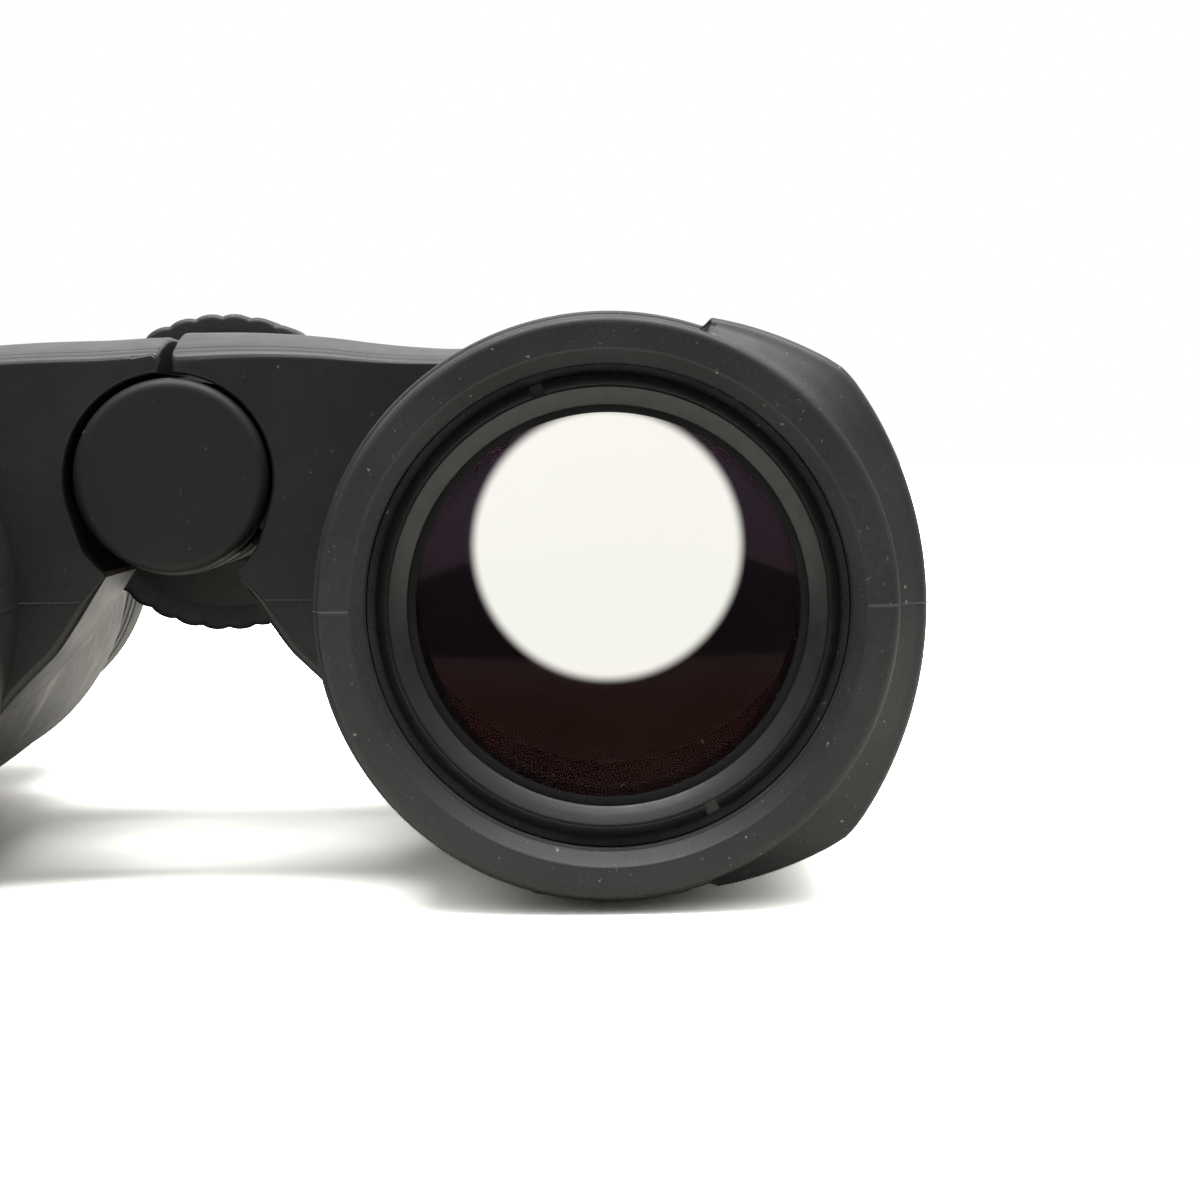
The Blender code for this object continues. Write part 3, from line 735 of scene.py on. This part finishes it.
def arm_seam(side):
    """Thin mould seam across the arm's front face, in line with the seam on the rim."""
    left, right, low, high = 7.6, 14.2, -10.28, -10.12
    outline = [([(left, low), (right, low), (right, high), (left, high), (left, low)], "face")]
    levels = {"face": [(ARM_FRONT - 0.08, 0.0), (ARM_FRONT + 0.8, 0.0)]}
    drawn_solid(f"arm_seam_{TAGS[side]}", outline, levels, side, MATS["lip"], HALVES[side])


def soften_column(obj, column, count, radius):
    """Rounds the edge that one outline point of a drawn solid makes from front to back."""
    bm = bmesh.new()
    bm.from_mesh(obj.data)
    edges = [edge for edge in bm.edges if all(vert.index % count == column for vert in edge.verts)]
    bmesh.ops.bevel(bm, geom=edges, offset=radius * MM, segments=5, profile=0.5, affect="EDGES", clamp_overlap=True)
    bm.to_mesh(obj.data)
    bm.free()
    obj.data.shade_smooth()
    obj.data.set_sharp_from_angle(angle=radians(32))


# ---------------------------------------------------------------- objective


def lens_sag(radius, bend, flatter, flattest=0.0):
    """Depth of an aspheric lens face at a radius."""
    square = radius * radius
    return square / bend * (1 - flatter * square - flattest * square * square)


def retaining_ring(side):
    """Threaded ring in front of the lens, with its groove and two spanner notches."""
    profile = [
        (LENS_CLEAR_R, 4.1, 0.06),
        (17.4, 3.2, 0.05),
        (17.46, 3.36),
        (17.54, 3.36),
        (17.58, 3.05, 0.03),
        (18.45, 3.5, 0.1),
        (18.45, 11.6),
        (17.35, 11.6),
        (17.35, 5.4),
        (LENS_CLEAR_R, 5.4),
    ]
    bm = lathe_bm(rounded(profile, 3), BARRELS[side], 240)
    ring = finish_mesh(f"retaining_ring_{TAGS[side]}", bm, MATS["anodised"], HALVES[side],
                       (f"objective_ring_{TAGS[side]}",))
    cut_notches(ring, BARRELS[side], side)


def objective(side):
    """The lens pair in its retaining ring and seat, and what shows behind it down the barrel."""
    tag, body, centre = TAGS[side], HALVES[side], BARRELS[side]
    retaining_ring(side)
    lens_r = LENS_CLEAR_R + 1.05
    zones = range(1, 17)
    crown = [(0, CROWN_FRONT)] + [(r, CROWN_FRONT + lens_sag(r, 121.5, 1.75e-4)) for r in (*zones, lens_r)]
    crown += [(lens_r, 10.3)]
    crown += [(r, FLINT_BACK - lens_sag(r, 161.2, -0.24e-4, 1.03e-7)) for r in reversed(zones)] + [(0, FLINT_BACK)]
    lathe(f"objective_lens_{tag}", crown, centre, MATS["objective"], body,
          (f"objective_crown_{tag}", f"objective_flint_{tag}"), 128, sharp=50)
    spacer = tube(15.4, 16.6, 4.6, 5.7, 0.08)
    lathe(f"lens_spacer_{tag}", spacer, centre, MATS["void"], body)
    seat = tube(18.3, 19.22, 4.0, 5.2, 0.08)
    lathe(f"lip_seat_{tag}", seat, centre, MATS["lip"], body)
    stop = [(18.1, 12.4), (16.3, 12.4, 0.1), (16.3, 16.5, 0.1), (18.1, 16.5)]
    lathe(f"lens_stop_{tag}", stop, centre, MATS["tunnel"], body, segments=96)
    ribs = [(18.15, 29.2)]
    for rib in range(12):
        ribs += [(17.9, 29.2 + 1.5 * rib), (17.2, 29.95 + 1.5 * rib)]
    ribs += [(17.9, 47.2), (18.15, 47.2)]
    lathe(f"light_baffle_{tag}", ribs, centre, MATS["tunnel"], body, segments=96)
    lathe(f"moving_lens_{tag}", tube(0, 14.25, 22.4, 25.4, 0), centre, MATS["lens"], f"focus_cell_{tag}",
          (f"focus_lens_{tag}",), 96)
    # The prism face glows with painted light of day; no lamp lights it
    painted_glow_material = painted_daylight(f"daylight_{tag}", centre + Vector((0.0, 0.18)), PAINTED_DAYLIGHT_R, PAINTED_DAYLIGHT_SOFT)
    lathe(f"glowing_prism_face_{tag}", tube(0, 8.9, 48.5, 49.0, 0), centre, painted_glow_material, body, segments=96)


def cut_notches(ring, centre, side):
    """Two notches for a spanner in the outer step of the retaining ring."""
    half_width = 0.55
    for angle in (radians(107.5), radians(-63.5)):
        along = Vector((side * cos(angle), sin(angle)))
        across = Vector((-along.y, along.x))
        bm = bmesh.new()
        corners = []
        for depth in (2.0, 3.75):
            for reach in (17.5, 19.2):
                for width in (-half_width, half_width):
                    spot = centre + along * reach + across * width
                    corners.append(bm.verts.new(Vector((spot.x, y_at(depth), spot.y)) * MM))
        bmesh.ops.convex_hull(bm, input=corners)
        mesh = bpy.data.meshes.new("notch")
        bm.to_mesh(mesh)
        bm.free()
        cutter = bpy.data.objects.new("notch", mesh)
        bpy.context.scene.collection.objects.link(cutter)
        modifier = ring.modifiers.new("notch", "BOOLEAN")
        modifier.operation = "DIFFERENCE"
        modifier.object = cutter
        modifier.solver = "EXACT"
        apply_modifiers(ring)
        bpy.data.objects.remove(cutter)
    ring.data.set_sharp_from_angle(angle=radians(32))


def apply_modifiers(obj):
    graph = bpy.context.evaluated_depsgraph_get()
    mesh = bpy.data.meshes.new_from_object(obj.evaluated_get(graph))
    obj.modifiers.clear()
    obj.data = mesh


# ---------------------------------------------------------------- hinge and wheel


def hinge_caps():
    """Round caps that close the hinge in front and behind; each has a stub in the bored shaft."""
    front = [(0, 12.6), (CAP_R - 0.95, 12.6), (CAP_R, 12.6, 0.85), (CAP_R, 16.0, 0.2), (2.2, 16.0), (2.2, 22.0),
             (0, 22.0)]
    lathe("front_cap", front, HINGE + Vector((0.12, 0.2)), MATS["cap"], "right_half",
          ("hinge_cap_front",), steps=6)
    rear = [(0, 77.4), (KNUCKLE_R, 77.4, 0.8), (KNUCKLE_R, 74.9, 0.2), (2.2, 74.9), (2.2, 69.0), (0, 69.0)]
    lathe("rear_cap", rear, HINGE, MATS["cap"], "right_half", ("hinge_cap_rear",), 128, steps=5)


def wheel():
    """Focus wheel: a flanged plastic core between the bridges, and its scalloped rubber rim."""
    core = [(5.5, 30.5), (8.2, 30.5, 0.5), (8.2, 47.6, 0.5), (WHEEL_HUB_R, 48.6), (WHEEL_HUB_R, 57.6),
            (8.2, 58.6, 0.5), (8.2, 60.1, 0.3), (5.5, 60.1)]
    lathe("wheel_core", core, HINGE, MATS["plastic"], "focus_wheel", ("focus_wheel_core",), 128)
    rim = [(WHEEL_HUB_R, WHEEL_FRONT), (WHEEL_R, WHEEL_FRONT, 0.5), (WHEEL_R, WHEEL_BACK, 0.5),
           (WHEEL_HUB_R, WHEEL_BACK)]
    lathe("wheel_rim", rim, HINGE, MATS["wheel"], "focus_wheel", ("focus_wheel_grip",), 432,
          wheel_ripple, 40)


def wheel_ripple(radius, depth, angle):
    """Shallow scallops round the rim, with rounded ridges between narrower valleys."""
    if radius < WHEEL_R - 1.0:
        return 0.0
    wave = abs(sin(SCALLOPS / 2 * angle))
    return -SCALLOP_DEPTH * (1 - wave) ** 1.3


# ---------------------------------------------------------------- rear of the barrels


def housing_rear(side):
    """Painted metal of a half: the tube inside the armour, the collar behind it and the hinge knuckles."""
    tag, body, centre = TAGS[side], HALVES[side], BARRELS[side]
    collar = [(14.6, 81.2), (20.2, 80.5), (20.2, 83.0, 0.8), (17.2, 88.0, 0.5), (14.6, 88.0, 0.2)]
    lathe(f"collar_{tag}", collar, centre, MATS["paint"], body, (f"housing_{tag}",), 128)
    sleeve = [(18.3, 12.5), (20.2, LIP_DEPTH + 0.3, 0.2), (20.2, 80.6), (18.3, 80.6)]
    lathe(f"inner_tube_{tag}", sleeve, centre, MATS["paint"], body, segments=96)
    rear_arm(side)
    hinge_eyes(side)


def rear_arm(side):
    """Rear bridge arm, from the hollow round the hinge down to the barrel."""
    top = spline([(7.2, 7.6), (12.0, 7.2), (17.0, 6.2), (22.0, 5.2)], 3)
    lower = spline([(18.0, -17.5), (15.0, -13.6), (12.0, -11.2), (7.0, -8.6)], 3)
    eye = arc_points(POCKET_R + 0.35, -50.0, 49.0, 16)
    inside = barrel_arc(19.3, 130.0, 212.0, 14)
    edges = [
        ([eye[-1], top[0]], "face"),
        (top, "face"),
        ([top[-1], inside[0]], "inside"),
        (inside, "inside"),
        ([inside[-1], lower[0]], "inside"),
        (lower, "face"),
        ([lower[-1], eye[0]], "face"),
        (eye, "face"),
    ]
    levels = {
        "face": edge_levels(REAR_ARM_FRONT, REAR_ARM_BACK, 1.0),
        "inside": [(REAR_ARM_FRONT, 0.0), (REAR_ARM_BACK, 0.0)],
    }
    drawn_solid(f"rear_arm_{TAGS[side]}", edges, levels, side, MATS["paint"], HALVES[side])


def hinge_eyes(side):
    """Knuckles of a half on the hinge shaft, each with the web that ties it to its arm."""
    tag, body = TAGS[side], HALVES[side]
    spans = {1: ((16.6, 19.4, 4.3), (66.3, 72.0, 4.3)), -1: ((27.3, 30.0, 6.5), (60.5, 66.0, 5.5))}
    web_front_limit = 28.4
    for index, (front, back, bore) in enumerate(spans[side]):
        lathe(f"hinge_eye_{tag}_{index}", tube(bore, KNUCKLE_R, front, back, 0.25), HINGE, MATS["paint"], body,
              segments=96)
        web = [([(6.2, -4.0), (13.0, -7.0), (13.0, 1.5), (6.2, 4.6), (6.2, -4.0)], "face")]
        web_back = min(back, web_front_limit) if index == 0 else back
        ends = {"face": edge_levels(front + 0.1, web_back - 0.1, 0.3)}
        drawn_solid(f"eye_web_{tag}_{index}", web, ends, side, MATS["paint"], body)


def eyepiece(side):
    """Eyepiece tube, its end lens, and the twist-up eyecup on its guide."""
    tag, body, centre = TAGS[side], HALVES[side], BARRELS[side]
    tube_line = [(12.7, 78.1), (17.6, 78.1), (17.6, 80.6), (14.3, 80.6), (14.3, 112.9, 0.3), (9.6, 112.9, 0.2),
                 (9.6, 111.6), (11.2, 111.6), (11.2, 101.0), (12.7, 101.0)]
    lathe(f"ocular_tube_{tag}", tube_line, centre, MATS["anodised"], body,
          (f"eyepiece_tube_{tag}",), 96)
    eye = [(0, 105.6)] + [(r, 105.6 + r * r / 85) for r in (4, 7, 9)] + [(10.9, 107.0), (10.9, 110.0)]
    eye += [(r, 111.2 - r * r / 100) for r in (9, 7, 4)] + [(0, 111.2)]
    lathe(f"ocular_lens_{tag}", eye, centre, MATS["lens"], body, (f"eye_lens_{tag}",), 96, sharp=50)
    guide = tube(14.6, 16.0, 92.6, 104.0, 0.2)
    lathe(f"helix_ring_{tag}", guide, centre, MATS["plastic"], f"eyecup_guide_{tag}",
          (f"eyecup_guide_{tag}",), 96)
    cup = [(16.4, 92.6, 0.2), (17.7, 92.6, 0.4), (18.4, 94.2, 0.5)]
    for groove in range(4):
        start = 96.5 + 3.4 * groove
        cup += [(18.4, start, 0.25), (18.05, start + 0.5, 0.2), (18.05, start + 0.9, 0.2), (18.4, start + 1.4, 0.25)]
    cup += [(18.4, 114.5, 1.2), (17.2, 117.6, 1.0), (14.6, 118.0, 0.9), (11.9, 116.4, 0.5), (11.7, 113.6, 0.2),
            (16.4, 113.6)]
    lathe(f"eyecup_rubber_{tag}", cup, centre, MATS["cup"], f"eyecup_{tag}", (f"eyecup_{tag}",), 160)


def eyepiece_rings():
    """Knurled dioptre ring on the right, and the plain collar in its place on the left."""
    ring = [(14.6, 88.5), (17.0, 88.5, 0.2), (18.4, 89.1, 0.25), (18.4, 91.7, 0.25), (17.0, 92.3, 0.2), (14.6, 92.3)]
    lathe("knurled_ring", ring, BARRELS[1], MATS["plastic"], "diopter_ring", ("diopter_ring",), 360,
          knurl, 40)
    plain = [(14.6, 88.5), (17.3, 88.5, 0.4), (17.8, 89.2, 0.3), (17.8, 92.3, 0.3), (14.6, 92.3)]
    lathe("plain_collar", plain, BARRELS[-1], MATS["plastic"], "left_half",
          ("eyepiece_collar",), 128)


def knurl(radius, depth, angle):
    """Straight grooves round the dioptre ring, 60 to the turn."""
    if radius < 18.0:
        return 0.0
    return -0.3 * smooth(0.45, 0.8, abs(sin(30 * angle)))


def strap_lug(side):
    """Loop for the neck strap, with rounded edges."""
    tag = TAGS[side]
    lug = bpy.data.objects[f"strap_lug_{tag}"]
    lug.data.materials.clear()
    lug.data.materials.append(MATS["anodised"])
    bevel = lug.modifiers.new("soft_edges", "BEVEL")
    bevel.width = 0.35 * MM
    bevel.segments = 3
    bevel.limit_method = "ANGLE"


# ---------------------------------------------------------------- parts kept from the CAD


def finish_cad_nodes():
    """Gives every CAD node that still shows its procedural material."""
    by_slot = {
        "rubber_armour": "rubber", "body_paint": "paint", "black_anodised": "anodised", "coated_lens": "lens",
        "prism_glass": "prism", "seal_rubber": "seal", "eyecup_rubber": "cup", "wheel_rubber": "wheel",
        "black_plastic": "plastic", "cap_plastic": "cap", "brass": "brass", "steel": "steel",
    }
    # Inner parts take the near-black tunnel material, with its painted wine-tinted reflection
    inner = ("focus_cell", "field_cell", "prism_cage", "objective_seal")
    for entry in frame["record"]["subparts"]:
        node = frame["nodes"][entry["node"]]
        look = "tunnel" if entry["node"].startswith(inner) else by_slot[entry["material_slot"]]
        node.data.materials.clear()
        node.data.materials.append(MATS[look])
        node.data.shade_smooth()
        node.data.set_sharp_from_angle(angle=radians(32))


# ---------------------------------------------------------------- studio


def pale_floor():
    """Matt floor, exposed brighter for the camera than for what it lights."""
    mat, nodes, links, shader = new_material("pale_floor")
    nodes.remove(shader)
    matt = nodes.new("ShaderNodeBsdfDiffuse")
    cloud = noise(nodes, links, object_coords(nodes), 3, 2)
    tone = mix_colour(nodes, links, cloud, (0.66, 0.635, 0.57), (0.7, 0.675, 0.61))
    exposed = mix_colour(nodes, links, cloud, (2.72, 2.68, 2.55), (2.8, 2.76, 2.63))
    seen = nodes.new("ShaderNodeLightPath").outputs["Is Camera Ray"]
    links.new(mix_colour(nodes, links, seen, tone, exposed), matt.inputs["Color"])
    links.new(matt.outputs["BSDF"], nodes["Material Output"].inputs["Surface"])
    return mat


def floor():
    """Table top, which ends in front of the rims so that it doesn't light them."""
    bm = bmesh.new()
    bmesh.ops.create_grid(bm, x_segments=8, y_segments=8, size=FLOOR_HALF * MM)
    mesh = bpy.data.meshes.new("floor")
    bm.to_mesh(mesh)
    bm.free()
    mesh.materials.append(pale_floor())
    table = bpy.data.objects.new("floor", mesh)
    table.location = (0.0, (FLOOR_HALF + FRONT - FLOOR_AHEAD) * MM, CAD_LOW.z)
    bpy.context.scene.collection.objects.link(table)


def surroundings():
    """White surroundings, brighter behind and above than in front."""
    world = bpy.data.worlds.new("studio")
    bpy.context.scene.world = world
    world.use_nodes = True
    nodes, links = world.node_tree.nodes, world.node_tree.links
    direction = split_vector(nodes, links, nodes.new("ShaderNodeTexCoord").outputs["Generated"])
    behind = remap(nodes, links, direction["Y"], 0.05, 0.8, 0.2, 0.8)
    above = remap(nodes, links, direction["Z"], 0.15, 0.9, 0.0, 1.0)
    both = maths(nodes, links, "ADD", behind, maths(nodes, links, "MULTIPLY", above, 1.3))
    path = nodes.new("ShaderNodeLightPath")
    background = nodes["Background"]
    background.inputs["Color"].default_value = (1.0, 1.0, 1.0, 1.0)
    links.new(maths(nodes, links, "MAXIMUM", both, path.outputs["Is Camera Ray"]), background.inputs["Strength"])


def top_light():
    """One wide soft light above and a little in front."""
    light = bpy.data.lights.new("top_soft", "AREA")
    light.shape = "RECTANGLE"
    light.size, light.size_y = 0.8, 0.5
    light.energy = 9.5
    spot, target = Vector((0.05, -0.12, 0.75)), Vector((0.02, 0.0, 0.03))
    obj = bpy.data.objects.new("top_soft", light)
    obj.location = spot
    obj.rotation_euler = (target - spot).to_track_quat("-Z", "Y").to_euler()
    bpy.context.scene.collection.objects.link(obj)


def camera():
    """Close to the rims, straight in front of the right barrel and a little above its axis."""
    data = bpy.data.cameras.new("camera")
    data.sensor_width = 36.0
    data.lens = 86.6
    data.clip_start = 0.01
    obj = bpy.data.objects.new("camera", data)
    axis = BARRELS[1]
    obj.location = Vector((axis.x, FRONT - CAMERA_AWAY, axis.y + CAMERA_ABOVE)) * MM
    look = Matrix.Rotation(radians(90 + CAMERA_PITCH), 4, "X")
    turn = Matrix.Rotation(radians(CAMERA_YAW), 4, "Z")
    roll = Matrix.Rotation(radians(CAMERA_ROLL), 4, "Z")
    obj.rotation_euler = (turn @ look @ roll).to_euler()
    bpy.context.scene.collection.objects.link(obj)
    bpy.context.scene.camera = obj
    bpy.context.scene.view_settings.view_transform = "Standard"


def main():
    make_materials()
    finish_cad_nodes()
    for side in (1, -1):
        barrel_skin(side)
        foot(side, 11.0, 28.0)
        foot(side, 61.0, 77.0)
        front_arm(side)
        objective(side)
        housing_rear(side)
        eyepiece(side)
        strap_lug(side)
    hinge_caps()
    wheel()
    eyepiece_rings()
    floor()
    surroundings()
    top_light()
    camera()


main()
